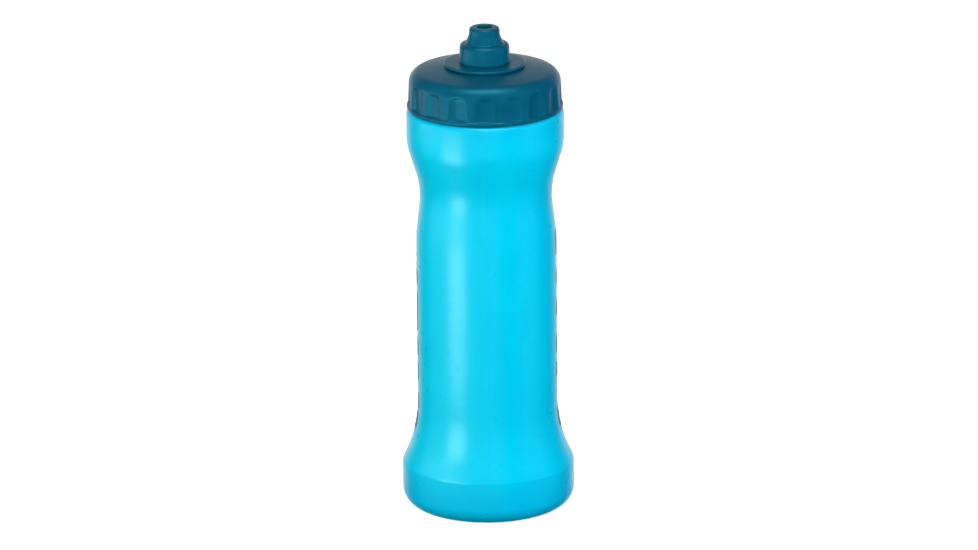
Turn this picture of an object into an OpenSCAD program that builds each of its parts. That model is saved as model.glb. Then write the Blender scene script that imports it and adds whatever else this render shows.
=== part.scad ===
// Squeeze bottle with a screw cap and a push-pull spout.
// Millimetres, +Z up. The origin is on the bottle's axis, on the surface it stands on.
// The bottle, the cap, the seals, the spout's seat and the spout are separate pieces.

/* [Bottle] */
// Diameter of the wide band at the base
base_d = 73; // [67:0.5:88]
// Height from the foot to the shoulder under the cap
body_h = 174.3; // [145:0.1:210]
// Diameter of the straight middle
grip_d = 59.4; // [54:0.1:64]
// Diameter of the narrow waist, where the two tapers would meet
waist_d = 54.7; // [48:0.1:58]
// Wall of the blow-moulded bottle
wall = 1.4; // [1:0.1:1.8]
// Height of the wide band's upper edge
band_h = 19.2; // [17:0.1:23]
// Height where the lower taper meets the straight middle
grip_low = 34.2; // [30:0.1:44]
// Distance from the shoulder down to the top of the straight middle
grip_drop = 54.9; // [50:0.1:60]
// Distance from the shoulder down to the waist
waist_drop = 34.4; // [31:0.1:38]
// Distance from the shoulder down to the end of the upper taper
bulge_drop = 15.5; // [12:0.1:18]
// Rise of the hollow under the base
push_up = 4.5; // [2:0.1:7]

/* [Neck and thread] */
// Outside diameter of the neck
neck_d = 57.4; // [48:0.1:69]
// Height of the neck above the shoulder
neck_h = 12.3; // [11:0.1:16]
// Wall of the neck
neck_wall = 1.5; // [1.2:0.1:2.2]
// Rise of the thread for one turn
lead = 5; // [4.2:0.1:6]
// Height of a thread ridge off its wall
thread_depth = 1.2; // [0.9:0.1:1.5]
// Width of a thread ridge at its wall
thread_root = 2; // [1.6:0.1:2.2]

/* [Cap] */
// Wall of the cap's skirt
cap_wall = 2.25; // [1.8:0.05:3]
// Gap between the shoulder and the cap's lower edge
cap_gap = 0.5; // [0.4:0.1:1.5]
// How far the bead at the lower edge stands out
bead_out = 0.5; // [0.2:0.1:1]
// Height of the bead
bead_h = 1.2; // [0.8:0.1:2]
// Inward lean of the skirt, in degrees
draft = 2.6; // [0:0.1:5]
// Rounding of the cap's shoulder
cap_round = 5; // [2:0.5:6]
// Height from the cap's corner to its flat crown
dome_h = 2.4; // [1:0.1:4]
// Thickness of the crown
crown_t = 2.4; // [2:0.1:3]
// Number of finger flutes
flutes = 17; // [12:1:24]
// Depth of a finger flute
flute_depth = 0.8; // [0.4:0.1:1]
// Radius of the round tool that cuts a flute
flute_r = 12; // [6:0.5:16]

/* [Seals] */
// Thickness of the gasket between cap and neck
gasket_t = 1.4; // [1:0.1:2.5]
// Width of the gasket's ring
gasket_w = 3.8; // [3:0.1:4.2]
// Thickness of the washer under the spout's flange
washer_t = 0.7; // [0.5:0.1:0.9]

/* [Spout] */
// Diameter of the flange
flange_d = 34.4; // [33:0.1:42]
// Thickness of the flange
flange_t = 1; // [0.8:0.1:2]
// Gap under the flange's edge
flange_lift = 0.7; // [0.4:0.1:1.5]
// Outside diameter of the pull spout's skirt
skirt_d = 21.2; // [20:0.1:25.4]
// Height of the skirt, from its lower edge to its shoulder
skirt_h = 8.2; // [7.6:0.1:10]
// Wall of the skirt
skirt_wall = 1.25; // [1:0.05:1.6]
// Diameter of the mouthpiece
mouth_d = 12.8; // [12:0.1:16]
// Height of the mouthpiece above the skirt's shoulder
mouth_h = 6.8; // [6:0.1:9]
// Diameter of the outlet hole
outlet_d = 6.3; // [5.2:0.05:7.5]
// How far the spout pulls up
stroke = 4.4; // [3.6:0.1:4.8]
// How deep the centre pin's tip sits below the lip
pin_drop = 2.4; // [1.5:0.1:3]

/* [Fits] */
// Clearance round the thread and its flanks
thread_gap = 0.3; // [0.25:0.05:0.5]
// Clearance of the centre pin in the outlet
pin_gap = 0.1; // [0.05:0.01:0.15]
// Clearance of the spout's bore on the stop ring
bore_gap = 0.15; // [0.1:0.05:0.25]
// Clearance of the snap ring inside the guide tube's stop
snap_gap = 0.2; // [0.1:0.05:0.25]
// How far the snap ring catches under the stop ring
catch = 0.3; // [0.2:0.05:0.4]
// Clearance of flat faces that close on a seal
face_gap = 0.1; // [0.05:0.05:0.3]

/* [Hidden] */

arc_step = 7;        // degrees of arc between two points of an outline
$fn = 160;

body_colour = [0, 0.78, 0.9];
cap_colour = [0, 0.36, 0.46];
seal_colour = [0.85, 0.87, 0.88];

// Bottle
base_r = base_d / 2;
grip_r = grip_d / 2;
waist_r = waist_d / 2;
foot_round = 7.5;    // rounding from the band down to the foot
foot_w = 1.6;        // width of the ring that touches the table
foot_r = base_r - foot_round;
hollow_r = foot_r - foot_w;
hollow_run = 6;      // width of the slope that rises into the hollow
hollow_fall = 0.9;   // how far the slope's upper end lies below the hollow's middle
hollow_round = 12;
foot_in_round = 3;   // rounding from the foot into the hollow
grip_round = 50;     // hollow rounding between the lower taper and the middle
upper_round = 60;    // rounding where the middle starts to narrow
waist_round = 31;
bulge_round = 20;
band_round = 3;
shoulder_round = 2;
shoulder_in_round = 1;
shoulder_over = 0.3; // how far the shoulder stands out past the cap's bead

// Roundings of small edges
crisp = 0.1;
eased = 0.2;
mild = 0.3;
soft = 0.4;
full = 0.5;

// Neck and thread
neck_r = neck_d / 2;
rim_z = body_h + neck_h;
half_root = thread_root / 2;
crest_share = 0.45;  // width of a ridge's crest against its root
half_crest = crest_share * half_root;
// the cap's ridges lie under the neck's, one clearance away from flank to flank
lug_drop = half_root + half_crest + thread_gap
    - (half_root - half_crest) * thread_gap / thread_depth;
lug_pitch = 45;      // degrees from one thread lug to the next
lug_span = 38;       // degrees that one lug covers
lug_sink = 0.6;      // how far a lug's foot runs into its wall
neck_lugs = 12;
cap_lugs = 10;
first_cap_lug = 2;   // the neck's lug under which the cap's first one lies
first_lug_h = 2.9;   // height of the first lug's middle above the shoulder
thread_z = body_h + first_lug_h;
neck_foot_round = 0.8;
neck_in_round = 1.5;

// Cap
cap_bore = neck_r + thread_depth + thread_gap;
skirt_r = cap_bore + cap_wall;
bead_r = skirt_r + bead_out;
shoulder_r = bead_r + shoulder_over;
cap_z = body_h + cap_gap;
bead_z = cap_z + bead_h;
bead_slope = 0.5;    // height of the slope from the bead up to the skirt
land_z = rim_z + 2 * face_gap + gasket_t;
land_t = 1.9;        // cap's thickness over the gasket, at its corner
corner_z = land_z + land_t;
corner_r = skirt_r - (corner_z - bead_z) * tan(draft);
crown_z = corner_z + dome_h;
ceiling_z = crown_z - crown_t;
dome_mid = 0.64;     // share of the dome's rise that is reached halfway in
dome_round = 60;
crown_edge = 0.6;    // how far the flat crown reaches past the flange
crown_round = 8;
gasket_in = 0.6;     // gap between the cap's bore and the gasket
gasket_r = cap_bore - gasket_in;
land_in = 1.3;       // how far the gasket's seat reaches in past the gasket
land_r = gasket_r - gasket_w - land_in;
ceiling_round = 1;
flute_low = 0.3;     // height of a flute's foot above the bead
flute_z = bead_z + flute_low;
flute_drop = 1.3;    // distance from the cap's corner down to a flute's top
flute_top = corner_z - flute_drop;
flute_floor = (skirt_r + corner_r) / 2 - flute_depth; // deepest reach of a flute
flute_round = 4;     // rounding that arches a flute's top

// Washer and spout seat
guide_r = skirt_d / 2 - skirt_wall - bore_gap - catch - snap_gap;
stop_r = guide_r + snap_gap + catch;
snap_r = guide_r + snap_gap;
bore_r = stop_r + bore_gap;
guide_wall = 1.4;
flow_r = guide_r - guide_wall;
plug_out = 1.8;      // how far the plug is wider than the guide tube
plug_r = guide_r + plug_out;
hole_r = plug_r + face_gap;
flange_r = flange_d / 2;
flange_over = 1.6;   // how far the flange stands out past its collar
collar_r = flange_r - flange_over;
washer_in = 0.7;     // how far the collar covers the cap past the washer
washer_r = collar_r - washer_in;
washer_loose = 0.2;  // play of the washer round the plug
washer_play = 0.1;   // play of the washer inside its recess
flange_z = crown_z + flange_lift;
deck_z = flange_z + flange_t;
flange_low_round = 0.35;
flange_top_round = 0.6;
barb_len = 1.9;
plug_z = ceiling_z - barb_len;
barb_ramp = 1.3;     // height of the barb's sloping lead
barb_out = 0.9;
barb_z = ceiling_z - face_gap;
plug_nose = 0.3;     // how much narrower the plug is at its lower end
tab_t = 1.9;         // thickness of the snap tabs
tab_r = plug_r - tab_t;
tab_slots = 4;
slot_w = 2;
slot_over = 0.6;     // how far the slots reach up past the cap's ceiling
throat_drop = 0.6;   // how far below the crown the tabs' inner slope ends
clear_cut = 1;       // how far a cutter reaches past what it cuts

// Pull spout
spout_lift = 0.15;        // gap between the flange and the closed spout
spout_z = deck_z + spout_lift;
snap_h = 0.8;             // height of the snap ring
snap_z = spout_z + snap_h;
snap_lead = 0.4;          // sloping lead of the snap ring, in and down
stop_z = snap_z + stroke + face_gap;
stop_t = 0.4;
stop_lead = 0.6;          // height of the slope above the stop ring
tube_in = 0.2;            // how far that slope ends inside the tube's outer face
guide_top = stop_z + stop_t + stop_lead;
shoulder_z = spout_z + skirt_h;
lip_z = shoulder_z + mouth_h;
mouth_r = mouth_d / 2;
lean = 0.15;              // how far the skirt leans out at its foot and in at its top
foot_bead = 1.2;          // height of the skirt's straight foot
foot_slope = 0.4;         // height of the slope above it
skirt_round = 1.8;        // rounding of the skirt's shoulder
cone_r = mouth_r + 1.6;   // foot of the mouthpiece
cone_h = 3.6;             // height at which the cone meets the straight lip
cone_foot_round = 0.7;
cone_round = 4;
lip_round = 1.2;
mouth_lean = 0.05;
roof_t = 0.8;             // thickness of the skirt's roof
roof_z = shoulder_z - roof_t;
roof_in = 1;              // how far the roof's inner corner lies inside the cone's foot
roof_fall = 1.1;          // fall of the roof from there to the bore
outlet_r = outlet_d / 2;
pin_r = outlet_r - pin_gap;
pin_z = lip_z - pin_drop;
seal_len = 1.8;           // how far the pin reaches into the outlet
outlet_z = pin_z - seal_len;
pin_neck = 0.5;           // how much thinner the pin is below its head
head_over = 1;            // how far the pin's head reaches down past the outlet
head_slope = 0.8;         // height of the slope from the pin's shaft to its head
web_t = 1.4;
web_h = 3.6;
webs = 3;
web_low = 0.2;            // height of the webs above the flange's underside
web_z = flange_z + web_low;
web_start = 1;            // distance from the axis at which a web starts
web_sink = 0.5;           // how far a web runs into the guide tube

function unit(v) = v / norm(v);
function turned(v, a) = [v.x * cos(a) - v.y * sin(a), v.x * sin(a) + v.y * cos(a)];
function half_angle(a, b, c) = acos(max(-1, min(1, unit(a - b) * unit(c - b)))) / 2;

// Distance from corner i to where its rounding starts, before any limit
function wanted_reach(p, i) =
    let (n = len(p), b = p[i], a = p[(i + n - 1) % n], c = p[(i + 1) % n])
    b.z == 0 ? 0 : b.z / tan(half_angle([a.x, a.y], [b.x, b.y], [c.x, c.y]));

// Share of the wanted roundings for which the side from corner i still has room
function side_share(p, i) =
    let (n = len(p), j = (i + 1) % n, need = wanted_reach(p, i) + wanted_reach(p, j))
    need == 0 ? 1 : min(1, 0.98 * norm([p[j].x - p[i].x, p[j].y - p[i].y]) / need);

// Points of corner i: the corner itself, or the arc that rounds it
function corner_points(p, i) =
    let (
        n = len(p),
        b = [p[i].x, p[i].y],
        u = unit([p[(i + n - 1) % n].x, p[(i + n - 1) % n].y] - b),
        v = unit([p[(i + 1) % n].x, p[(i + 1) % n].y] - b),
        reach = wanted_reach(p, i) * min(side_share(p, (i + n - 1) % n), side_share(p, i)),
        half = acos(max(-1, min(1, u * v))) / 2
    )
    reach == 0 ? [b] :
    let (
        centre = b + unit(u + v) * reach / cos(half),
        spoke = b + u * reach - centre,
        swing = (cross(u, v) > 0 ? -1 : 1) * (180 - 2 * half),
        steps = max(2, ceil(abs(swing) / arc_step))
    )
    [for (k = [0 : steps]) centre + turned(spoke, swing * k / steps)];

// A closed outline from corners of the form [radius, height, rounding]
function outline(p) = [for (i = [0 : len(p) - 1]) each corner_points(p, i)];

module turned_solid(corners) {
    rotate_extrude()
        polygon(outline(corners));
}

// Corners of the bottle's side, from the foot up to the shoulder, moved in by the wall
function side_corners(inset, floor_z, shoulder_round) = [
    [base_r - inset, floor_z, foot_round - inset],
    [base_r - inset, band_h, band_round],
    [grip_r - inset, grip_low, grip_round + inset],
    [grip_r - inset, body_h - grip_drop, upper_round],
    [waist_r - inset, body_h - waist_drop, waist_round + inset],
    [shoulder_r - inset, body_h - bulge_drop, bulge_round - inset],
    [shoulder_r - inset, body_h - inset, shoulder_round]
];

// Corners of the hollow under the base, from its middle out to the foot, raised by the wall
function hollow_corners(up) = [
    [0, push_up + up, 0],
    [hollow_r - hollow_run, push_up - hollow_fall + up, hollow_round],
    [hollow_r, up, foot_in_round]
];

function reversed(p) = [for (i = [len(p) - 1 : -1 : 0]) p[i]];

// One ridge lug: a trapezium turned through lug_span, tilted to the thread's slope.
// Its flanks run on into the wall it stands on.
module thread_lug(root_r, crest_r, turn, z) {
    slope = atan(lead / (PI * (root_r + crest_r)));
    sunk_r = root_r + (root_r < crest_r ? -lug_sink : lug_sink);
    half_sunk = half_root + (half_root - half_crest) * lug_sink / thread_depth;
    rotate([0, 0, turn])
        translate([0, 0, z])
            rotate([slope, 0, 0])
                rotate([0, 0, -lug_span / 2])
                    rotate_extrude(angle = lug_span)
                        polygon([
                            [sunk_r, -half_sunk], [crest_r, -half_crest],
                            [crest_r, half_crest], [sunk_r, half_sunk]
                        ]);
}

module bottle_body() {
    color(body_colour)
        union() {
            turned_solid(concat(
                hollow_corners(0),
                side_corners(0, 0, shoulder_round),
                [
                    [neck_r, body_h, neck_foot_round], [neck_r, rim_z, full],
                    [neck_r - neck_wall, rim_z, full],
                    [neck_r - neck_wall, body_h - wall, neck_in_round]
                ],
                reversed(side_corners(wall, wall, shoulder_in_round)),
                reversed(hollow_corners(wall))
            ));
            for (i = [0 : neck_lugs - 1])
                thread_lug(neck_r, neck_r + thread_depth, i * lug_pitch,
                    thread_z + lead * i * lug_pitch / 360);
        }
}

// The round tool that cuts one flute: upright, with a rounded end that arches the flute's top
module flute() {
    cut_h = flute_top - flute_z;
    rotate_extrude()
        union() {
            square([flute_r - flute_round, cut_h]);
            square([flute_r, cut_h - flute_round]);
            translate([flute_r - flute_round, cut_h - flute_round])
                circle(flute_round);
        }
}

module screw_cap() {
    color(cap_colour)
        union() {
            difference() {
                turned_solid([
                    [cap_bore, cap_z, soft], [bead_r, cap_z, full], [bead_r, bead_z, soft],
                    [skirt_r, bead_z + bead_slope, mild], [corner_r, corner_z, cap_round],
                    [(corner_r + flange_r) / 2, corner_z + dome_h * dome_mid, dome_round],
                    [flange_r + crown_edge, crown_z, crown_round],
                    [washer_r, crown_z, 0], [washer_r, crown_z - washer_t, 0],
                    [hole_r, crown_z - washer_t, 0], [hole_r, ceiling_z, 0],
                    [land_r, ceiling_z, ceiling_round], [land_r, land_z, mild],
                    [cap_bore, land_z, soft]
                ]);
                for (i = [0 : flutes - 1])
                    rotate([0, 0, i * 360 / flutes - 90])
                        translate([flute_floor + flute_r, 0, flute_z])
                            flute();
            }
            for (i = [first_cap_lug : first_cap_lug + cap_lugs - 1])
                thread_lug(cap_bore, cap_bore - thread_depth, i * lug_pitch,
                    thread_z - lug_drop + lead * i * lug_pitch / 360);
        }
}

module cap_gasket() {
    gasket_z = rim_z + face_gap;
    color(seal_colour)
        turned_solid([
            [gasket_r - gasket_w, gasket_z, mild], [gasket_r, gasket_z, mild],
            [gasket_r, gasket_z + gasket_t, mild],
            [gasket_r - gasket_w, gasket_z + gasket_t, mild]
        ]);
}

module base_washer() {
    in_r = hole_r + washer_loose;
    out_r = washer_r - washer_play;
    color(seal_colour)
        turned_solid([
            [in_r, crown_z - washer_t, 0], [out_r, crown_z - washer_t, 0],
            [out_r, crown_z, 0], [in_r, crown_z, 0]
        ]);
}

module centre_pin() {
    shaft_r = pin_r - pin_neck;
    head_z = pin_z - seal_len - head_over;
    turned_solid([
        [0, web_z, 0], [shaft_r, web_z, soft], [shaft_r, head_z - head_slope, mild],
        [pin_r, head_z, mild], [pin_r, pin_z, full], [0, pin_z, 0]
    ]);
}

module spout_base() {
    barb_r = plug_r + barb_out;
    color(cap_colour)
        union() {
            difference() {
                turned_solid([
                    [tab_r, plug_z, 0], [plug_r - plug_nose, plug_z, eased],
                    [barb_r, plug_z + barb_ramp, crisp], [barb_r, barb_z, crisp],
                    [plug_r, barb_z, 0], [plug_r, crown_z, 0],
                    [collar_r, crown_z, 0], [collar_r, flange_z, eased],
                    [flange_r, flange_z, flange_low_round], [flange_r, deck_z, flange_top_round],
                    [guide_r, deck_z, soft], [guide_r, stop_z, 0], [stop_r, stop_z, 0],
                    [stop_r, stop_z + stop_t, crisp], [guide_r - tube_in, guide_top, crisp],
                    [flow_r, guide_top, soft], [flow_r, flange_z, full],
                    [tab_r, crown_z - throat_drop, full]
                ]);
                for (i = [0 : tab_slots - 1])
                    rotate([0, 0, (i + 0.5) * 360 / tab_slots])
                        translate([tab_r - clear_cut, -slot_w / 2, plug_z - clear_cut])
                            cube([
                                barb_r - tab_r + 2 * clear_cut, slot_w,
                                ceiling_z + slot_over - plug_z + clear_cut
                            ]);
            }
            centre_pin();
            for (i = [0 : webs - 1])
                rotate([0, 0, i * 360 / webs + 90])
                    translate([web_start, -web_t / 2, web_z])
                        cube([flow_r + web_sink - web_start, web_t, web_h]);
        }
}

module pull_spout() {
    outer_r = skirt_d / 2;
    color(cap_colour)
        turned_solid([
            [snap_r + snap_lead, spout_z, eased], [outer_r + lean, spout_z, mild],
            [outer_r + lean, spout_z + foot_bead, mild],
            [outer_r, spout_z + foot_bead + foot_slope, mild],
            [outer_r - lean, shoulder_z, skirt_round], [cone_r, shoulder_z, cone_foot_round],
            [mouth_r + mouth_lean, shoulder_z + cone_h, cone_round], [mouth_r, lip_z, lip_round],
            [outlet_r, lip_z, full], [outlet_r, outlet_z, 0],
            [cone_r - roof_in, roof_z, mild], [bore_r, roof_z - roof_fall, mild],
            [bore_r, snap_z, 0], [snap_r, snap_z, crisp], [snap_r, snap_z - snap_lead, crisp]
        ]);
}

bottle_body();
screw_cap();
cap_gasket();
spout_base();
base_washer();
pull_spout();
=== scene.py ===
# %% [markdown]
# # A squeeze bottle with a push-pull spout
#
# This lesson builds the looks of a sports bottle round a imported CAD model. The CAD
# holds every size and every joint. Here each visible piece gets a smooth mesh of the
# same shape, and a plastic, rubber or ink finish made of shader nodes.
#
# The box of the whole object is kept.

# %% The frame
import math

import bmesh
import bpy
from mathutils import Matrix, Vector


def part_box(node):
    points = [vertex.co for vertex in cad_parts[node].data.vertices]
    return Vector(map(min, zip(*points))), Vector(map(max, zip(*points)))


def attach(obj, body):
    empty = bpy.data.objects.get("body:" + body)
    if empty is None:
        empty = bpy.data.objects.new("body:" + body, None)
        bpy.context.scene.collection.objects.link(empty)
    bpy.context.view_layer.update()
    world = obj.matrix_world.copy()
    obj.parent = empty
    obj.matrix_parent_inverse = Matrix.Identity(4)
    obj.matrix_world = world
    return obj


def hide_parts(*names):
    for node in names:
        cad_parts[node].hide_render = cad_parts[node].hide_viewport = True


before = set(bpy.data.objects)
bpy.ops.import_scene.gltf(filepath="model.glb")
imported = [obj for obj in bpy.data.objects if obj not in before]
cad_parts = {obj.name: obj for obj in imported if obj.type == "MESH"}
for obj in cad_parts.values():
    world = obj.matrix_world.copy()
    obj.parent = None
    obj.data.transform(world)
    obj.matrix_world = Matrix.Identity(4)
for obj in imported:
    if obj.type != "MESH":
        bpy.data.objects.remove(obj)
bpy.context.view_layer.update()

# %% [markdown]
# ## Sizes
#
# A lathe drawing gives radii and heights, so the sizes are in millimetres, and MM turns
# them into metres where a vertex is made. What the CAD boxes hold is read from them:
# the radius is half the width of a box, and the heights are its floor and its lid.
# What a box can't tell, such as a rounding or a wall, is named where it is first used.
# A name that ends in Z is a height above the ground, and one that ends in R is a radius.

# %% Sizes from the boxes
MM = 0.001


def radius_and_heights(node):
    """The outer radius, the floor and the top of a CAD node's box, in millimetres."""
    low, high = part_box(node)
    return (high[0] - low[0]) / 2 / MM, low[2] / MM, high[2] / MM


BASE_R, _, RIM_Z = radius_and_heights("bottle_body")
BEAD_R, CAP_Z, CROWN_Z = radius_and_heights("screw_cap")
FLANGE_R, PLUG_Z, PIN_Z = radius_and_heights("spout_base")
SKIRT_R, SPOUT_Z, LIP_Z = radius_and_heights("pull_spout")
NECK_H = 12.3
SHOULDER_Z = RIM_Z - NECK_H
print(f"base radius {BASE_R:.2f}, shoulder at {SHOULDER_Z:.1f}, rim at {RIM_Z:.1f}")
print(f"crown at {CROWN_Z:.1f}, lip at {LIP_Z:.1f}")

# %% [markdown]
# ## Camera, floor and light
#
# The bottle is seen from a little above through a long lens, so its sides stay nearly
# parallel. The camera looks at a point close to the middle of the height and is turned
# by half a degree about its own axis, which makes the bottle lean slightly.

# %% The camera
CAMERA_AWAY = 3.2
CAMERA_ELEVATION = math.radians(16.9)
CAMERA_LEAN = math.radians(0.54)
LENS = 278
SENSOR = 36
FAR_CLIP = 50
AIM_RIGHT = 1.0
AIM_Z = 100.5
AIM = Vector((AIM_RIGHT * MM, 0, AIM_Z * MM))

back = Vector((0, -math.cos(CAMERA_ELEVATION), math.sin(CAMERA_ELEVATION)))
camera = bpy.data.objects.new("camera", bpy.data.cameras.new("camera"))
bpy.context.scene.collection.objects.link(camera)
camera.data.lens = LENS
camera.data.sensor_width = SENSOR
camera.data.clip_end = FAR_CLIP
camera.location = AIM + back * CAMERA_AWAY
camera.rotation_mode = "QUATERNION"
camera.rotation_quaternion = (
    (-back).to_track_quat("-Z", "Y") @ Matrix.Rotation(-CAMERA_LEAN, 3, "Z").to_quaternion()
)
bpy.context.scene.camera = camera

# %% [markdown]
# The room is dim in front of the bottle and white behind it, as on a set with black
# screens beside the lens, so only the rims turn pale. Large soft boxes give the even
# light and don't show in the gloss. Three cards do the reverse, and show in the gloss
# alone. The one close to the bottle on the left draws the long highlight, and the others
# catch the crown and the left side of the cap. The floor takes the shadow. Its own white
# is kept out of the gloss and the shading, because it would grey the blue.

# %% The floor and the room
FLOOR_HALF = 0.9
FLOOR_GREY = 0.93
FLOOR_ROUGHNESS = 0.9
FLOOR_GLOW = 0.75

# One ramp for each axis: where it starts and stops, and its strength at both ends.
# The first goes from the dim front to the white back, the second from low to high.
ROOM_RAMPS = (("Y", 0.6, 0.9, 0.01, 1.25), ("Z", 0.0, 0.25, 1.0, 0.4))
SEEN_BY_CAMERA = 1.0


def make_floor():
    """A wide white floor that glows a little. It takes shadows, but lights nothing."""
    bm = bmesh.new()
    bmesh.ops.create_grid(bm, x_segments=1, y_segments=1, size=FLOOR_HALF)
    mesh = bpy.data.meshes.new("floor")
    bm.to_mesh(mesh)
    bm.free()
    floor = bpy.data.objects.new("floor", mesh)
    floor.visible_glossy = False
    floor.visible_diffuse = False
    bpy.context.scene.collection.objects.link(floor)
    paint = bpy.data.materials.new("floor")
    paint.use_nodes = True
    shader = paint.node_tree.nodes["Principled BSDF"]
    shader.inputs["Base Color"].default_value = (FLOOR_GREY, FLOOR_GREY, FLOOR_GREY, 1)
    shader.inputs["Roughness"].default_value = FLOOR_ROUGHNESS
    shader.inputs["Emission Color"].default_value = (1, 1, 1, 1)
    shader.inputs["Emission Strength"].default_value = FLOOR_GLOW
    mesh.materials.append(paint)


def make_room():
    """A world of the two ramps multiplied. The camera sees it as plain white."""
    world = bpy.data.worlds.new("room")
    bpy.context.scene.world = world
    world.use_nodes = True
    tree = world.node_tree
    tree.nodes.clear()
    where = tree.nodes.new("ShaderNodeTexCoord")
    split = tree.nodes.new("ShaderNodeSeparateXYZ")
    path = tree.nodes.new("ShaderNodeLightPath")
    both = tree.nodes.new("ShaderNodeMath")
    choose = tree.nodes.new("ShaderNodeMix")
    light = tree.nodes.new("ShaderNodeBackground")
    out = tree.nodes.new("ShaderNodeOutputWorld")
    tree.links.new(where.outputs["Generated"], split.inputs[0])
    both.operation = "MULTIPLY"
    for slot, (axis, *numbers) in enumerate(ROOM_RAMPS):
        grow = tree.nodes.new("ShaderNodeMapRange")
        grow.interpolation_type = "SMOOTHSTEP"
        for name, value in zip(("From Min", "From Max", "To Min", "To Max"), numbers):
            grow.inputs[name].default_value = value
        tree.links.new(split.outputs[axis], grow.inputs["Value"])
        tree.links.new(grow.outputs[0], both.inputs[slot])
    choose.inputs["B"].default_value = SEEN_BY_CAMERA
    light.inputs["Color"].default_value = (1, 1, 1, 1)
    tree.links.new(path.outputs["Is Camera Ray"], choose.inputs["Factor"])
    tree.links.new(both.outputs[0], choose.inputs["A"])
    tree.links.new(choose.outputs["Result"], light.inputs["Strength"])
    tree.links.new(light.outputs[0], out.inputs[0])


make_floor()
make_room()

# %% [markdown]
# A light's azimuth is in degrees from the camera's side, and left is negative. Its
# height, distance and size are in metres. It is aimed level, or down at the bottle.

# %% The lights
HIGHEST_AIM = 0.1


def soft_box(name, only, azimuth, height, away, width, tall, watts, tint=(1, 1, 1)):
    """An area light that acts only in the diffuse or only in the glossy light."""
    lamp = bpy.data.lights.new(name, "AREA")
    lamp.shape = "RECTANGLE"
    lamp.size = width
    lamp.size_y = tall
    lamp.energy = watts
    lamp.color = tint
    turn = math.radians(azimuth)
    box = bpy.data.objects.new(name, lamp)
    box.location = (math.sin(turn) * away, -math.cos(turn) * away, height)
    towards = Vector((0, 0, min(height, HIGHEST_AIM))) - box.location
    box.rotation_mode = "QUATERNION"
    box.rotation_quaternion = towards.to_track_quat("-Z", "Y")
    box.visible_camera = False
    box.visible_glossy = only != "diffuse"
    box.visible_diffuse = only != "glossy"
    bpy.context.scene.collection.objects.link(box)


soft_box("front_box", "diffuse", azimuth=-8, height=0.3, away=1.5, width=1.8, tall=1.8, watts=34)
soft_box("left_box", "diffuse", azimuth=-85, height=0.3, away=1.2, width=0.9, tall=1.4, watts=9.5)
soft_box("fill_box", "diffuse", azimuth=72, height=0.3, away=1.2, width=0.9, tall=1.4, watts=13,
         tint=(0.6, 0.84, 1))
soft_box("top_box", "diffuse", azimuth=10, height=1.3, away=0.25, width=0.8, tall=0.8, watts=3.5)
soft_box("top_card", "glossy", azimuth=0, height=1.0, away=0.3, width=0.7, tall=0.5, watts=9)
soft_box("long_card", "glossy", azimuth=-47, height=0.05, away=0.26, width=0.12, tall=0.1,
         watts=0.42)
soft_box("cap_card", "glossy", azimuth=-80, height=0.14, away=0.3, width=0.3, tall=0.1,
         watts=0.25)
bpy.context.scene.view_settings.view_transform = "Standard"

# %% [markdown]
# ## Turned shapes
#
# Nearly every piece of a bottle is a turned shape: a line drawn beside the axis and spun
# round it. The line starts as a few corners, and the vertex bevel rounds each one into a
# true arc, just as a lathe drawing gives a corner and its radius. Where a rounding of
# radius r meets two straight sides, it starts r / tan(half the angle) from the corner.

# %% Wire, spin and finish
ARC_STEP = math.radians(6)
FEWEST_IN_ARC = 2
TRUE_ARC = 0.5
SPIN_STEPS = 160
MERGE = 2e-6
SHARP_FROM = math.radians(35)

# The roundings of small edges, in millimetres.
CRISP, EASED, SOFT, MILD, FULL = 0.1, 0.2, 0.3, 0.4, 0.5


def rounded_wire(bm, corners, closed=True):
    """Add a line of corners (radius, height, rounding), in millimetres, beside the axis."""
    verts = [bm.verts.new((radius * MM, 0, height * MM)) for radius, height, _ in corners]
    followers = verts[1:] + verts[:1] if closed else verts[1:]
    for vert, follower in zip(verts, followers):
        bm.edges.new((vert, follower))
    for vert, (_, _, rounding) in zip(verts, corners):
        if rounding == 0:
            continue
        one, other = [edge.other_vert(vert).co - vert.co for edge in vert.link_edges]
        half = one.angle(other) / 2
        segments = max(FEWEST_IN_ARC, math.ceil((math.pi - 2 * half) / ARC_STEP))
        bmesh.ops.bevel(
            bm, geom=[vert], offset=rounding * MM / math.tan(half), offset_type="OFFSET",
            segments=segments, profile=TRUE_ARC, affect="VERTICES", material=-1,
        )


def spin_all(bm, angle=math.tau, steps=SPIN_STEPS, rise=0.0):
    """Spin everything in bm about the axis, rising by rise in all. A full turn is merged."""
    full = angle == math.tau
    bmesh.ops.spin(
        bm, geom=bm.verts[:] + bm.edges[:] + bm.faces[:], cent=(0, 0, 0), axis=(0, 0, 1),
        dvec=(0, 0, rise / steps), angle=angle, steps=steps, use_merge=full,
    )


def turn_about_axis(bm, angle):
    bmesh.ops.rotate(bm, cent=(0, 0, 0), matrix=Matrix.Rotation(angle, 3, "Z"), verts=bm.verts)


def clean(bm):
    """Merge what coincides and point the faces outwards."""
    bmesh.ops.remove_doubles(bm, verts=bm.verts, dist=MERGE)
    bmesh.ops.dissolve_degenerate(bm, edges=bm.edges, dist=MERGE)
    bmesh.ops.recalc_face_normals(bm, faces=bm.faces)


def merge_into(bm, part):
    """Copy one bmesh into another and free it."""
    mesh = bpy.data.meshes.new("part")
    part.to_mesh(mesh)
    part.free()
    bm.from_mesh(mesh)
    bpy.data.meshes.remove(mesh)


def add_part_turn(bm, corners, first, span, steps, rise=0.0):
    """Add a closed solid that covers only a span of a turn, from first, in degrees."""
    part = bmesh.new()
    rounded_wire(part, corners)
    bmesh.ops.edgeloop_fill(part, edges=part.edges)
    turn_about_axis(part, math.radians(first))
    spin_all(part, math.radians(span), steps, rise * MM)
    clean(part)
    merge_into(bm, part)


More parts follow.
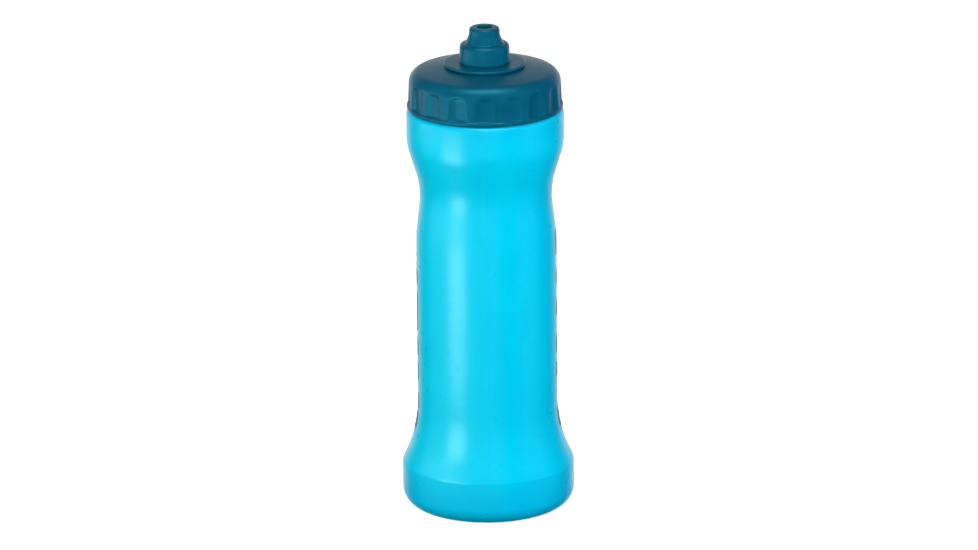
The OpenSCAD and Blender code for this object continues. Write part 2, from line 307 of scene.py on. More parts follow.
def rounded_block(size, rounding, segments):
    """A block with rounded edges about the origin, from sizes in millimetres."""
    block = bmesh.new()
    bmesh.ops.create_cube(block, size=1)
    bmesh.ops.scale(block, vec=[side * MM for side in size], verts=block.verts)
    bmesh.ops.bevel(
        block, geom=block.edges[:], offset=rounding * MM, offset_type="OFFSET",
        segments=segments, profile=TRUE_ARC, affect="EDGES", material=-1,
    )
    return block


def make_piece(name, bm, body, replaced=()):
    """Make an object of bm that rides on a body and stands for CAD nodes."""
    mesh = bpy.data.meshes.new(name)
    bm.to_mesh(mesh)
    open_edges = sum(not edge.is_manifold for edge in bm.edges)
    volume = bm.calc_volume() / MM**3
    bm.free()
    mesh.polygons.foreach_set("use_smooth", [True] * len(mesh.polygons))
    mesh.set_sharp_from_angle(angle=SHARP_FROM)
    piece = bpy.data.objects.new(name, mesh)
    bpy.context.scene.collection.objects.link(piece)
    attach(piece, body)
    if replaced:
        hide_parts(*replaced)
    print(f"{name}: {len(mesh.polygons)} faces, {volume:.0f} mm3, {open_edges} open edges")
    return piece


# %% [markdown]
# ## The bottle
#
# The real bottle is blown: a hot tube of soft polyethylene is caught between two mould
# halves and inflated. That gives one thin wall with large roundings everywhere, a fine
# raised line where the halves met, and a pinched scar under the base where the tube was
# shut. The line runs at the front and the back, halfway between the printed sides.
#
# The outer corners run from the middle of the hollow base up to the neck. The inner
# corners are the same list moved in by the wall: a convex rounding gets smaller by the
# wall and a hollow one gets larger. Heights on the side are above the ground at the
# foot, and drops are below the shoulder.

# %% The bottle's outline
WALL = 1.4
NECK_WALL = 1.5
PUSH_UP = 4.5
HOLLOW_FALL = 0.9
HOLLOW_RUN = 6
HOLLOW_ROUND = 12
FOOT_IN_ROUND = 3
FOOT_ROUND = 7.5
FOOT_W = 1.6
BAND_Z = 19.2
BAND_ROUND = 3
TAPER_Z = 34.2
TAPER_ROUND = 50
GRIP_DROP = 54.9
GRIP_ROUND = 60
WAIST_DROP = 34.4
WAIST_ROUND = 31
BULGE_DROP = 15.5
BULGE_ROUND = 20
SHOULDER_ROUND = 2
SHOULDER_IN_ROUND = 1
NECK_ROOT_ROUND = 0.8
NECK_ROOT_IN_ROUND = 1.5
NECK_R = 28.7
GRIP_R = 29.7
WAIST_R = 27.35
SHOULDER_R = BEAD_R + 0.3
HOLLOW_R = BASE_R - FOOT_ROUND - FOOT_W


def side_corners(inset, floor, last_round):
    """The side from the foot to the shoulder, moved in by the wall."""
    return [
        (BASE_R - inset, floor, FOOT_ROUND - inset),
        (BASE_R - inset, BAND_Z, BAND_ROUND),
        (GRIP_R - inset, TAPER_Z, TAPER_ROUND + inset),
        (GRIP_R - inset, SHOULDER_Z - GRIP_DROP, GRIP_ROUND),
        (WAIST_R - inset, SHOULDER_Z - WAIST_DROP, WAIST_ROUND + inset),
        (SHOULDER_R - inset, SHOULDER_Z - BULGE_DROP, BULGE_ROUND - inset),
        (SHOULDER_R - inset, SHOULDER_Z - inset, last_round),
    ]


outer_side = side_corners(0, 0, SHOULDER_ROUND)
outer_corners = [
    (0, PUSH_UP, 0), (HOLLOW_R - HOLLOW_RUN, PUSH_UP - HOLLOW_FALL, HOLLOW_ROUND),
    (HOLLOW_R, 0, FOOT_IN_ROUND), *outer_side,
]
neck_corners = [
    (NECK_R, SHOULDER_Z, NECK_ROOT_ROUND), (NECK_R, RIM_Z, FULL),
    (NECK_R - NECK_WALL, RIM_Z, FULL), (NECK_R - NECK_WALL, SHOULDER_Z - WALL, NECK_ROOT_IN_ROUND),
]
inner_corners = side_corners(WALL, WALL, SHOULDER_IN_ROUND)[::-1] + [
    (HOLLOW_R, WALL, FOOT_IN_ROUND),
    (HOLLOW_R - HOLLOW_RUN, PUSH_UP - HOLLOW_FALL + WALL, HOLLOW_ROUND), (0, PUSH_UP + WALL, 0),
]
print(len(outer_corners + neck_corners + inner_corners), "corners in the bottle's outline")

# %% [markdown]
# The spin goes round in four stages. Two are only half a degree to each side of the
# mould line, so that its middle row of vertices can be lifted into a fine ridge.

# %% The blown shell and its mould line
SEAM_HALF = math.radians(0.5)
SEAM_STEPS = 2
SEAM_HIGH = 0.06
SEAM_STOP = 1
HALF_STEPS = 96
ON_LINE = 1e-6
FACES_OUT = 0.2


def spin_blown_shell(bm):
    """Spin the outline in four stages, with narrow ones at the mould line."""
    turn_about_axis(bm, -math.pi / 2 - SEAM_HALF)
    stages = 2 * ((2 * SEAM_HALF, SEAM_STEPS), (math.pi - 2 * SEAM_HALF, HALF_STEPS))
    geom = bm.verts[:] + bm.edges[:]
    for angle, steps in stages:
        geom = bmesh.ops.spin(
            bm, geom=geom, cent=(0, 0, 0), axis=(0, 0, 1), dvec=(0, 0, 0), angle=angle,
            steps=steps,
        )["geom_last"]
    clean(bm)


def lift_mould_line(bm):
    """Move the middle row at the front and the back out, where it is on the outside."""
    for vert in bm.verts:
        out = Vector((vert.co.x, vert.co.y, 0))
        on_line = abs(vert.co.x) < ON_LINE and out.length > 0
        if on_line and vert.co.z < (SHOULDER_Z - SEAM_STOP) * MM:
            out.normalize()
            if vert.normal.dot(out) > FACES_OUT:
                vert.co += out * SEAM_HIGH * MM


# %% [markdown]
# The thread is a row of short ridges, each a trapezium carried round by a spin that
# rises as it turns. In `spin_all`, `dvec` is the rise of one step.

# %% Thread lugs
LEAD = 5.0
THREAD_DEPTH = 1.2
THREAD_GAP = 0.3
HALF_ROOT = 1.0
HALF_CREST = 0.45
NECK_LUGS = 12
FIRST_CAP_LUG = 2
FIRST_LUG_H = 2.9
LUG_SINK = 0.6
LUG_PITCH = 45
LUG_SPAN = 38
LUG_STEPS = 16


def lug_height(i):
    """The height of the middle of a lug on the neck."""
    return SHOULDER_Z + FIRST_LUG_H + LEAD * i * LUG_PITCH / 360


def add_lug(bm, root, crest, turn, height):
    """Add one ridge from its root radius to its crest radius, centred on a turn in degrees."""
    sunk = root - LUG_SINK if root < crest else root + LUG_SINK
    half_sunk = HALF_ROOT + (HALF_ROOT - HALF_CREST) * LUG_SINK / THREAD_DEPTH
    rise = LEAD * LUG_SPAN / 360
    low = height - rise / 2
    corners = [
        (sunk, low - half_sunk, 0), (crest, low - HALF_CREST, EASED),
        (crest, low + HALF_CREST, EASED), (sunk, low + half_sunk, 0),
    ]
    add_part_turn(bm, corners, turn - LUG_SPAN / 2, LUG_SPAN, LUG_STEPS, rise)


# %% Put the bottle together
SCAR_SIZE = (1.2, 36, 1.4)
SCAR_SUNK = 0.5


def build_bottle():
    bm = bmesh.new()
    rounded_wire(bm, outer_corners + neck_corners + inner_corners, closed=False)
    spin_blown_shell(bm)
    lift_mould_line(bm)
    for i in range(NECK_LUGS):
        add_lug(bm, NECK_R, NECK_R + THREAD_DEPTH, i * LUG_PITCH, lug_height(i))
    scar = rounded_block(SCAR_SIZE, SOFT, segments=3)
    bmesh.ops.translate(scar, vec=(0, 0, (PUSH_UP - SCAR_SUNK) * MM), verts=scar.verts)
    merge_into(bm, scar)
    return make_piece("bottle_shell", bm, "bottle", ["bottle_body"])


bottle = build_bottle()

# %% [markdown]
# ## The cap
#
# The cap is moulded in hard polypropylene. Its skirt has broad shallow flutes for the
# fingers, as if a round cutter had been sunk into it, and each flute ends in an arch
# just under the shoulder. The spin has the same number of steps in each flute. Then
# each vertex of the skirt moves in to where the cutter would leave it. A soft minimum
# of the skirt and the cutter keeps a small rounding on the ridges between flutes.

# %% The cap's outline
SKIRT_WALL = 2.25
SKIRT_DRAFT = math.radians(2.6)
FACE_GAP = 0.1
BEAD_H = 1.2
BEAD_SLOPE = 0.5
GASKET_T = 1.4
GASKET_W = 3.8
GASKET_IN = 0.6
LAND_IN = 1.3
LAND_ROUND = 1
CORNER_OVER = 1.9
CORNER_ROUND = 5
DOME_SHARE = 0.64
DOME_ROUND = 60
CROWN_EDGE = 0.6
CROWN_ROUND = 8
CROWN_WALL = 2.4
GUIDE_R = 8.7
PLUG_OUT = 1.8
WASHER_W = 4.3
WASHER_T = 0.7
CAP_BORE = NECK_R + THREAD_DEPTH + THREAD_GAP
CAP_R = CAP_BORE + SKIRT_WALL
BEAD_Z = CAP_Z + BEAD_H
LAND_Z = RIM_Z + 2 * FACE_GAP + GASKET_T
CORNER_Z = LAND_Z + CORNER_OVER
CORNER_R = CAP_R - (CORNER_Z - BEAD_Z) * math.tan(SKIRT_DRAFT)
DOME_H = CROWN_Z - CORNER_Z
CEILING_Z = CROWN_Z - CROWN_WALL
LAND_R = CAP_BORE - GASKET_IN - GASKET_W - LAND_IN
PLUG_R = GUIDE_R + PLUG_OUT
HOLE_R = PLUG_R + FACE_GAP
WASHER_R = HOLE_R + WASHER_W

cap_corners = [
    (CAP_BORE, CAP_Z, MILD), (BEAD_R, CAP_Z, FULL), (BEAD_R, BEAD_Z, MILD),
    (CAP_R, BEAD_Z + BEAD_SLOPE, SOFT), (CORNER_R, CORNER_Z, CORNER_ROUND),
    ((CORNER_R + FLANGE_R) / 2, CORNER_Z + DOME_H * DOME_SHARE, DOME_ROUND),
    (FLANGE_R + CROWN_EDGE, CROWN_Z, CROWN_ROUND),
    (WASHER_R, CROWN_Z, 0), (WASHER_R, CROWN_Z - WASHER_T, 0),
    (HOLE_R, CROWN_Z - WASHER_T, 0), (HOLE_R, CEILING_Z, 0),
    (LAND_R, CEILING_Z, LAND_ROUND), (LAND_R, LAND_Z, SOFT), (CAP_BORE, LAND_Z, MILD),
]

# %% The finger flutes
FLUTES = 17
FLUTE_STEPS = 32
FLUTE_TOOL_R = 12
FLUTE_ROUND = 4
FLUTE_RUNOUT = 0.8
FLUTE_DEPTH = 0.8
FLUTE_Z = BEAD_Z + 0.3
FLUTE_TOP = CORNER_Z - 1.3
FLUTE_FLOOR = (CAP_R + CORNER_R) / 2 - FLUTE_DEPTH
RIDGE_SOFT = 0.08
RIDGE_REACH = 20 * RIDGE_SOFT


def arc_fall(rounding, past):
    """How far an arc has come in at a distance past its start."""
    return rounding - math.sqrt(max(rounding**2 - past**2, 0)) if past > 0 else 0


def tool_radius(height):
    """The cutter's radius at a height: smaller in its rounded top and at its runout."""
    at_top = arc_fall(FLUTE_ROUND, height - (FLUTE_TOP - FLUTE_ROUND))
    at_end = arc_fall(FLUTE_RUNOUT, FLUTE_Z + FLUTE_RUNOUT - height)
    return FLUTE_TOOL_R - at_top - at_end


def fluted(radius, turn, height):
    """The skirt's radius after the cutter, with a soft ridge."""
    pitch = math.tau / FLUTES
    off = (turn + math.pi / 2 + pitch / 2) % pitch - pitch / 2
    away = FLUTE_FLOOR + FLUTE_TOOL_R
    room = tool_radius(height) ** 2 - (away * math.sin(off)) ** 2
    if room <= 0:
        return radius
    cut = away * math.cos(off) - math.sqrt(room)
    if abs(cut - radius) >= RIDGE_REACH:
        return min(radius, cut)
    both = math.exp(-radius / RIDGE_SOFT) + math.exp(-cut / RIDGE_SOFT)
    return -RIDGE_SOFT * math.log(both)


# %% Put the cap together
SKIRT_CUTS = 26
SKIRT_EDGE_IN = 0.6
LONG_EDGE = 5
SKIRT_DEPTH = 4


def is_skirt(edge):
    """Whether an edge of the outline is the long outer side."""
    outside = all(vert.co.x > (CORNER_R - SKIRT_EDGE_IN) * MM for vert in edge.verts)
    return outside and edge.calc_length() > LONG_EDGE * MM


def build_cap():
    bm = bmesh.new()
    rounded_wire(bm, cap_corners)
    skirt = [edge for edge in bm.edges if is_skirt(edge)]
    bmesh.ops.subdivide_edges(bm, edges=skirt, cuts=SKIRT_CUTS)
    spin_all(bm, steps=FLUTES * FLUTE_STEPS)
    clean(bm)
    for vert in bm.verts:
        radius, height = vert.co.xy.length / MM, vert.co.z / MM
        outside = radius > CORNER_R - SKIRT_DEPTH and vert.normal.xy.dot(vert.co.xy) > 0
        if outside and FLUTE_Z < height < FLUTE_TOP:
            scale = fluted(radius, math.atan2(vert.co.y, vert.co.x), height) / radius
            vert.co.x *= scale
            vert.co.y *= scale
    flank = (HALF_ROOT - HALF_CREST) / THREAD_DEPTH
    drop = HALF_ROOT + HALF_CREST + THREAD_GAP - flank * THREAD_GAP
    for i in range(FIRST_CAP_LUG, NECK_LUGS):
        add_lug(bm, CAP_BORE, CAP_BORE - THREAD_DEPTH, i * LUG_PITCH, lug_height(i) - drop)
    return make_piece("cap_shell", bm, "cap", ["screw_cap"])


cap = build_cap()

# %% [markdown]
# ## The spout and its seat
#
# The seat snaps into the crown from above. Its flange shows as a round disc with a dark
# gap under its edge. Under the spout it hides a guide tube, a stop ring, and a pin on
# three webs that closes the outlet. The spout slides on the tube and its snap ring
# catches under the stop ring.

# %% The seat's sizes
FLANGE_LIFT = 0.7
FLANGE_T = 1.0
FLANGE_ROUND = 0.35
DECK_ROUND = 0.6
COLLAR_OUT = 0.7
STROKE = 4.4
SNAP_GAP = 0.2
BORE_GAP = 0.15
CATCH = 0.3
FOOT_TO_SNAP = 0.8
STOP_T = 1.0
STOP_LAND = 0.4
GUIDE_LEAN = 0.2
GUIDE_WALL = 1.4
THROAT_DROP = 0.6
FLANGE_Z = CROWN_Z + FLANGE_LIFT
DECK_Z = FLANGE_Z + FLANGE_T
SNAP_R = GUIDE_R + SNAP_GAP
STOP_R = SNAP_R + CATCH
FLOW_R = GUIDE_R - GUIDE_WALL
COLLAR_R = WASHER_R + COLLAR_OUT
SNAP_Z = SPOUT_Z + FOOT_TO_SNAP
STOP_Z = SNAP_Z + STROKE + FACE_GAP
GUIDE_TOP = STOP_Z + STOP_T

TABS = 4
TAB_STEPS = 24
TAB_SLOT = 2
TAB_T = 1.9
TAB_OVER = 0.6
TAB_TAPER = 0.3
BARB_OUT = 0.9
BARB_H = 1.3
TAB_R = PLUG_R - TAB_T
TAB_TOP = CEILING_Z + TAB_OVER
BARB_R = PLUG_R + BARB_OUT

PIN_R = 3.05
PIN_NECK = 0.5
PIN_SLOPE = 0.8
PIN_STEPS = 64
SEAL_LEN = 1.8
HEAD_OVER = 1
HEAD_Z = PIN_Z - SEAL_LEN - HEAD_OVER

WEBS = 3
WEB_LOW = 0.2
WEB_T = 1.4
WEB_H = 3.6
WEB_SHORT = 0.5
WEB_SHIFT = 0.75
WEB_Z = FLANGE_Z + WEB_LOW

# %% Put the seat together
seat_corners = [
    (TAB_R, TAB_TOP, 0), (PLUG_R, TAB_TOP, 0), (PLUG_R, CROWN_Z, 0),
    (COLLAR_R, CROWN_Z, 0), (COLLAR_R, FLANGE_Z, EASED), (FLANGE_R, FLANGE_Z, FLANGE_ROUND),
    (FLANGE_R, DECK_Z, DECK_ROUND), (GUIDE_R, DECK_Z, MILD), (GUIDE_R, STOP_Z, 0),
    (STOP_R, STOP_Z, 0), (STOP_R, STOP_Z + STOP_LAND, CRISP),
    (GUIDE_R - GUIDE_LEAN, GUIDE_TOP, CRISP), (FLOW_R, GUIDE_TOP, MILD),
    (FLOW_R, FLANGE_Z, FULL), (TAB_R, CROWN_Z - THROAT_DROP, FULL),
]
pin_corners = [
    (0, WEB_Z, 0), (PIN_R - PIN_NECK, WEB_Z, MILD), (PIN_R - PIN_NECK, HEAD_Z - PIN_SLOPE, SOFT),
    (PIN_R, HEAD_Z, SOFT), (PIN_R, PIN_Z, FULL), (0, PIN_Z, 0),
]
tab_corners = [
    (TAB_R, PLUG_Z, 0), (PLUG_R - TAB_TAPER, PLUG_Z, EASED), (BARB_R, PLUG_Z + BARB_H, CRISP),
    (BARB_R, CEILING_Z - FACE_GAP, CRISP), (PLUG_R, CEILING_Z - FACE_GAP, 0),
    (PLUG_R, TAB_TOP, 0), (TAB_R, TAB_TOP, 0),
]


def build_seat():
    bm = bmesh.new()
    rounded_wire(bm, seat_corners)
    spin_all(bm)
    clean(bm)
    pin = bmesh.new()
    rounded_wire(pin, pin_corners, closed=False)
    spin_all(pin, steps=PIN_STEPS)
    clean(pin)
    merge_into(bm, pin)
    slot = math.degrees(TAB_SLOT / PLUG_R)
    for i in range(TABS):
        add_part_turn(
            bm, tab_corners, (i - 0.5) * 360 / TABS + slot / 2, 360 / TABS - slot, TAB_STEPS,
        )
    for i in range(WEBS):
        web = rounded_block((FLOW_R - WEB_SHORT, WEB_T, WEB_H), EASED, segments=2)
        shift = ((FLOW_R / 2 + WEB_SHIFT) * MM, 0, (WEB_Z + WEB_H / 2) * MM)
        bmesh.ops.translate(web, vec=shift, verts=web.verts)
        turn_about_axis(web, math.radians(i * 360 / WEBS + 90))
        merge_into(bm, web)
    return make_piece("spout_seat", bm, "cap", ["spout_base"])


seat = build_seat()

# %% The pull spout
MOUTH_R = 6.4
MOUTH_H = 6.8
LIP_ROUND = 1.2
OUTLET_R = 3.15
CONE_OUT = 1.6
CONE_H = 3.6
CONE_LEAN = 0.05
CONE_ROUND = 4
CONE_ROOT_ROUND = 0.7
SHOULDER_TOP_ROUND = 1.8
FOOT_BEAD_H = 1.2
FOOT_BEAD_END = 1.6
FOOT_BEAD_IN = 0.15
SKIRT_LEAN = 0.3
ROOF_T = 0.8
ROOF_IN = 1
ROOF_SLOPE = 1.1
SNAP_LEAD = 0.4
SPOUT_TOP_Z = LIP_Z - MOUTH_H
ROOF_Z = SPOUT_TOP_Z - ROOF_T
CONE_R = MOUTH_R + CONE_OUT
BORE_R = STOP_R + BORE_GAP

spout_corners = [
    (SNAP_R + SNAP_LEAD, SPOUT_Z, EASED), (SKIRT_R, SPOUT_Z, SOFT),
    (SKIRT_R, SPOUT_Z + FOOT_BEAD_H, SOFT),
    (SKIRT_R - FOOT_BEAD_IN, SPOUT_Z + FOOT_BEAD_END, SOFT),
    (SKIRT_R - SKIRT_LEAN, SPOUT_TOP_Z, SHOULDER_TOP_ROUND),
    (CONE_R, SPOUT_TOP_Z, CONE_ROOT_ROUND),
    (MOUTH_R + CONE_LEAN, SPOUT_TOP_Z + CONE_H, CONE_ROUND), (MOUTH_R, LIP_Z, LIP_ROUND),
    (OUTLET_R, LIP_Z, FULL), (OUTLET_R, PIN_Z - SEAL_LEN, 0),
    (CONE_R - ROOF_IN, ROOF_Z, SOFT), (BORE_R, ROOF_Z - ROOF_SLOPE, SOFT),
    (BORE_R, SNAP_Z, 0), (SNAP_R, SNAP_Z, CRISP), (SNAP_R, SNAP_Z - SNAP_LEAD, CRISP),
]


def build_spout():
    bm = bmesh.new()
    rounded_wire(bm, spout_corners)
    spin_all(bm)
    clean(bm)
    return make_piece("spout_shell", bm, "spout", ["pull_spout"])


spout = build_spout()

# %% [markdown]
# ## The printed marks
#
# The bottle carries a column of screen-printed marks on each side. Here they are plain
# bars and dots. A mark starts as a flat grid with rounded corners, gets the thickness of
# ink, and is then bent round the bottle: its sideways place becomes an angle, and its
# depth is added to the bottle's radius at that height.

# %% The bottle's radius at a height
side_wire = bmesh.new()
rounded_wire(side_wire, [(HOLLOW_R, 0, 0), *outer_side, (NECK_R, SHOULDER_Z, 0)], closed=False)
side_line = sorted((vert.co.z / MM, vert.co.x / MM) for vert in side_wire.verts)
side_wire.free()


def bottle_radius(height):
    """The outer radius of the bottle at a height, in millimetres."""
    for (low, low_r), (high, high_r) in zip(side_line, side_line[1:]):
        if low <= height <= high and high > low:
            return low_r + (high_r - low_r) * (height - low) / (high - low)
    raise ValueError(f"no side at height {height}")


print("radius at 80 mm:", round(bottle_radius(80), 2))

# %% Bars and dots
MARK_HALF_W = 5.2
MARK_T = 0.06
MARK_SUNK = 0.03
MARK_CORNER_STEPS = 6
LONGEST_DOT = 3
DOT_ROUND = 0.98
BAR_ROUND = 0.45
DOT_COLUMNS = 8
BAR_COLUMNS = 24
FEWEST_ROWS = 8
CUT_MERGE = 1e-5

# The middle height and the length of each mark.
LEFT_MARKS = [
    (120, 1.6), (110, 1.6), (106, 1.6), (101, 7), (86, 18), (70, 8), (59.5, 8.5), (52.5, 1.6),
    (46, 7), (37.5, 8),
]
RIGHT_MARKS = [
    (115.5, 11), (107, 1.6), (100.5, 6), (95.5, 1.6), (87, 7), (78, 1.6), (71, 8), (60, 7),
    (53.5, 1.6), (50, 1.6), (38.5, 9),
]


def add_mark(bm, side, height, length):
    """Add one bar, or a dot where the length is small, at the side's angle."""
    is_dot = length < LONGEST_DOT
    half_w = length / 2 if is_dot else MARK_HALF_W
    columns = DOT_COLUMNS if is_dot else BAR_COLUMNS
    rows = max(FEWEST_ROWS, round(length))
    corner = min(half_w, length / 2) * (DOT_ROUND if is_dot else BAR_ROUND)
    mark = bmesh.new()
    bmesh.ops.create_grid(mark, x_segments=1, y_segments=1, size=1)
    bmesh.ops.scale(mark, vec=(half_w, length / 2, 1), verts=mark.verts)
    bmesh.ops.bevel(
        mark, geom=mark.verts[:], offset=corner, offset_type="OFFSET",
        segments=MARK_CORNER_STEPS, profile=TRUE_ARC, affect="VERTICES", material=-1,
    )
    for axis, half, cuts in ((0, half_w, columns), (1, length / 2, rows)):
        for i in range(1, cuts):
            at = Vector((0, 0, 0))
            at[axis] = -half + 2 * half * i / cuts
            across = Vector((0, 0, 0))
            across[axis] = 1
            geom = mark.verts[:] + mark.edges[:] + mark.faces[:]
            bmesh.ops.bisect_plane(mark, geom=geom, dist=CUT_MERGE, plane_co=at, plane_no=across)
    bmesh.ops.solidify(mark, geom=mark.faces[:], thickness=MARK_T + MARK_SUNK)
    deepest = min(vert.co.z for vert in mark.verts)
    for vert in mark.verts:
        z = height + vert.co.y
        radius = bottle_radius(z)
        turn = side + vert.co.x / radius
        radius += vert.co.z - deepest - MARK_SUNK
        vert.co = Vector((radius * math.cos(turn), radius * math.sin(turn), z)) * MM
    bmesh.ops.recalc_face_normals(mark, faces=mark.faces)
    merge_into(bm, mark)


def build_marks(name, side, marks):
    bm = bmesh.new()
    for height, length in marks:
        add_mark(bm, side, height, length)
    return make_piece(name, bm, "bottle")


left_marks = build_marks("printed_marks_left", math.pi, LEFT_MARKS)
right_marks = build_marks("printed_marks_right", 0, RIGHT_MARKS)

# %% [markdown]
# ## Writing shader maths as Python
#
# A material's nodes are easier to read as an expression. `Signal` wraps one output
# socket. Its operators add Math nodes, and `node` adds any other node: first its
# settings, then the values or links of its sockets.


# %% Signals
class Signal:
    """One output of a material's nodes."""

    def __init__(self, tree, socket=None):
        self.tree, self.socket = tree, socket

    def node(self, kind, settings=None, sockets=None, output=0):
        """Add a node and give one of its outputs."""
        made = self.tree.nodes.new("ShaderNode" + kind)
        for name, value in (settings or {}).items():
            setattr(made, name, value)
        for name, value in (sockets or {}).items():
            if isinstance(value, Signal):
                self.tree.links.new(value.socket, made.inputs[name])
            else:
                made.inputs[name].default_value = value
        return Signal(self.tree, made.outputs[output])

    def math(self, operation, *values):
        return self.node("Math", {"operation": operation}, dict(enumerate(values)))

    def __add__(self, other):
        return self.math("ADD", self, other)

    def __sub__(self, other):
        return self.math("SUBTRACT", self, other)

    def __mul__(self, other):
        return self.math("MULTIPLY", self, other)

    def __rsub__(self, other):
        return self.math("SUBTRACT", other, self)

    __radd__ = __add__
    __rmul__ = __mul__

    def ramp(self, low, high):
        """0 below low and 1 above high, with a smooth step between."""
        settings = {"interpolation_type": "SMOOTHSTEP"}
        return self.node("MapRange", settings, {"Value": self, "From Min": low, "From Max": high})

    def noise(self, size, detail=2.0, stretch=(1, 1, 1), rough=0.5):
        """Noise read at this place. Its features are about size metres, times the stretch."""
        scale = tuple(1 / (size * part) for part in stretch)
        place = self.node("VectorMath", {"operation": "MULTIPLY"}, {0: self, 1: scale})
        sockets = {"Vector": place, "Scale": 1.0, "Detail": detail, "Roughness": rough}
        return self.node("TexNoise", {}, sockets)

    def blend(self, low, high):
        """A colour that goes from low to high as this goes from 0 to 1."""
        low, high = [part if isinstance(part, Signal) else (*part, 1) for part in (low, high)]
        factor, first, second, colour_out = 0, 6, 7, 2
        sockets = {factor: self, first: low, second: high}
        return self.node("Mix", {"data_type": "RGBA"}, sockets, output=colour_out)


def new_material(name, colour, settings):
    """A Principled material. Gives it, its shader, and the place on the piece as a Signal."""
    material = bpy.data.materials.new(name)
    material.use_nodes = True
    material.diffuse_color = (*colour, 1)
    tree = material.node_tree
    shader = tree.nodes["Principled BSDF"]
    shader.inputs["Base Color"].default_value = (*colour, 1)
    for socket, value in settings.items():
        shader.inputs[socket].default_value = value
    place = Signal(tree).node("TexCoord", output="Object")
    return material, shader, place


def feed(shader, socket, signal):
    signal.tree.links.new(signal.socket, shader.inputs[socket])


def bump(shader, place, layers):
    """Chain one Bump node for each (height, distance in metres) and feed the Normal."""
    normal = None
    for height, distance in layers:
        sockets = {"Height": height, "Distance": distance, "Strength": 1.0}
        if normal is not None:
            sockets["Normal"] = normal
        normal = place.node("Bump", {}, sockets)
    feed(shader, "Normal", normal)


# %% [markdown]
# ## Finishes
#
# Blown polyethylene is soft to look at. Light enters the wall and comes out a little way
# off, so the shading is gentle, and its skin has a faint orange peel, long die lines up
# the height and a broad unevenness where the wall thinned as it was blown. Its colour is
# darkened by painted shade at the foot and just under the cap, and it is scuffed near
# the ground. In the finishes every size, height and distance is in metres.


# %% Blown polyethylene
CLEAR_BLUE = (0.0, 0.6, 0.88)
# The dark blue of the painted shade at the foot and under the cap. The random mottle also nudges
# towards it.
SHADE_AND_MOTTLE_BLUE = (0.0, 0.47, 0.79)
THIN_BLUE = (0.0, 0.63, 0.91)
# Height bands in metres: the painted shade at the foot, then the painted shade under the cap.
FOOT_SHADE = (0.002, 0.026)
CAP_SHADE = (0.162, 0.174)
WORN_FOOT = (0.0, 0.02)


def blown_polyethylene():
    material, shader, place = new_material("blown_polyethylene", CLEAR_BLUE, {
        "Subsurface Weight": 0.35,
        "Subsurface Radius": (0.4, 1.0, 1.2),
        "Subsurface Scale": 0.004,
        "Specular IOR Level": 0.2,
        "Specular Tint": (0.7, 0.95, 1.0, 1),
        "IOR": 1.51,
    })
    height = place.node("SeparateXYZ", {}, {0: place}, output=2)
    # Painted shade: the blue darkens towards the foot and in the band just under the cap, with a
    # little random mottle on top.
    painted_shade = 1 - height.ramp(*FOOT_SHADE)
    painted_shade = painted_shade + height.ramp(*CAP_SHADE) * 0.5
    waves = place.noise(0.03, detail=1.5)
    die_lines = place.noise(0.0022, detail=3, stretch=(1, 1, 60))
    mottle = place.noise(0.006, detail=3)
    colour = waves.ramp(0.3, 0.75).blend(CLEAR_BLUE, THIN_BLUE)
    colour = (painted_shade * 0.75 + (mottle - 0.5) * 0.12).blend(colour, SHADE_AND_MOTTLE_BLUE)
    feed(shader, "Base Color", colour)
    scuffs = place.noise(0.0009, detail=5, stretch=(1, 1, 7), rough=0.6).ramp(0.62, 0.72)
    scuffs = scuffs * (1 - height.ramp(*WORN_FOOT))
    feed(shader, "Roughness", 0.24 + mottle * 0.1 + scuffs * 0.2)
    peel = place.noise(0.0011, detail=2)
    bump(shader, place, (
        (waves, 0.00035), (die_lines, 0.00001), (peel, 0.000012), (scuffs, 0.000008),
    ))
    return material


# %% [markdown]
# Moulded polypropylene is harder and darker. The steel of the mould was spark-eroded, so
# the skin has a fine even grain under a few long scratches.


# %% Moulded polypropylene
TEAL = (0.0, 0.084, 0.145)
PALE_GAIN = 1.3
PALE_LIFT = 0.004


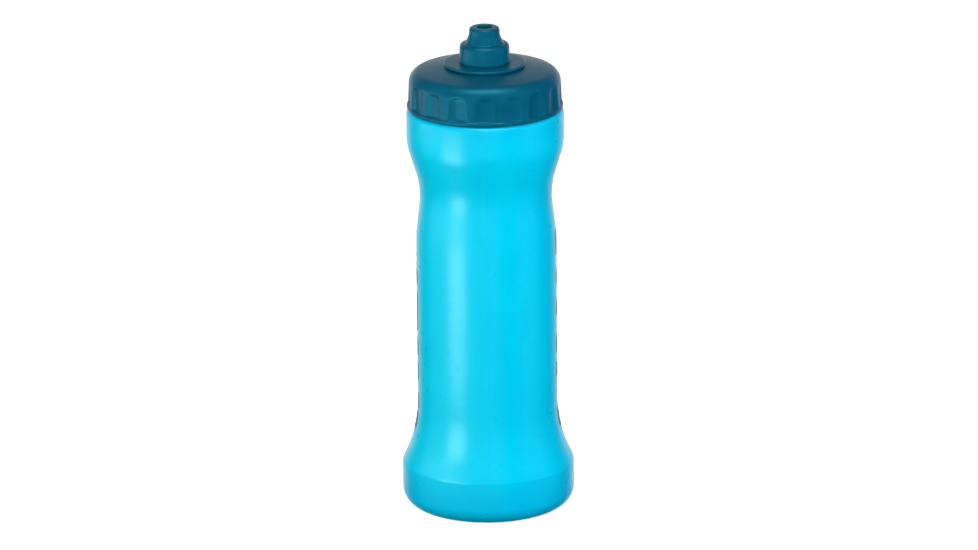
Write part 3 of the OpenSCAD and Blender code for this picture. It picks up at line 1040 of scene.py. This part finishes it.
def moulded_polypropylene(name, colour):
    pale = tuple(part * PALE_GAIN + PALE_LIFT for part in colour)
    material, shader, place = new_material(name, colour, {
        "Subsurface Weight": 0.08,
        "Subsurface Radius": (0.3, 1.0, 1.0),
        "Subsurface Scale": 0.0015,
        "Specular IOR Level": 0.3,
        "Specular Tint": (0.1, 0.8, 1.0, 1),
        "IOR": 1.49,
    })
    grain = place.noise(0.00035, detail=3, rough=0.6)
    cloud = place.noise(0.009, detail=3)
    streaks = place.noise(0.0014, detail=3, stretch=(1, 1, 9))
    shade = cloud.ramp(0.25, 0.8) * 0.5 + (streaks - 0.5) * 0.25
    feed(shader, "Base Color", shade.blend(colour, pale))
    scratches = place.noise(0.0007, detail=4, stretch=(6, 1, 1)).ramp(0.64, 0.74)
    feed(shader, "Roughness", 0.3 + grain * 0.1 + scratches * 0.12)
    bump(shader, place, ((cloud, 0.00005), (grain, 0.00001), (scratches, 0.000006)))
    return material


# %% [markdown]
# Silicone seals are milky and matt, with dust in their skin. Screen ink is a thin opaque
# film: it dries with a slightly pebbled surface and small pinholes.


# %% Silicone and ink
MILK = (0.74, 0.77, 0.78)
DUST = (0.6, 0.62, 0.62)
INK = (0.0, 0.09, 0.13)
THIN_INK = (0.0, 0.3, 0.42)


def silicone():
    material, shader, place = new_material("silicone", MILK, {
        "Subsurface Weight": 0.5,
        "Subsurface Radius": (1.0, 1.0, 1.0),
        "Subsurface Scale": 0.002,
        "IOR": 1.41,
    })
    dust = place.noise(0.0006, detail=4).ramp(0.55, 0.75)
    feed(shader, "Base Color", (dust * 0.4).blend(MILK, DUST))
    feed(shader, "Roughness", 0.5 + dust * 0.2)
    bump(shader, place, ((dust, 0.00001),))
    return material


def screen_ink():
    material, shader, place = new_material("screen_ink", INK, {
        "Specular IOR Level": 0.25,
        "Specular Tint": (0.2, 0.9, 1.0, 1),
        "IOR": 1.5,
    })
    pebble = place.noise(0.0004, detail=3)
    pinholes = place.noise(0.0008, detail=2).ramp(0.7, 0.76)
    feed(shader, "Base Color", (pinholes * 0.5 + (pebble - 0.5) * 0.2).blend(INK, THIN_INK))
    feed(shader, "Roughness", 0.36 + pebble * 0.16)
    bump(shader, place, ((pebble, 0.000008),))
    return material


# %% Dress every piece
def dress(material, *pieces):
    for piece in pieces:
        piece.data.materials.clear()
        piece.data.materials.append(material)


seals = [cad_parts[node] for node in ("cap_gasket", "base_washer")]
dress(silicone(), *seals)
dress(screen_ink(), left_marks, right_marks)
dress(blown_polyethylene(), bottle)
dress(moulded_polypropylene("cap_polypropylene", TEAL), cap)
dress(moulded_polypropylene("spout_polypropylene", TEAL), seat, spout)
print("materials:", sorted(m.name for m in bpy.data.materials))
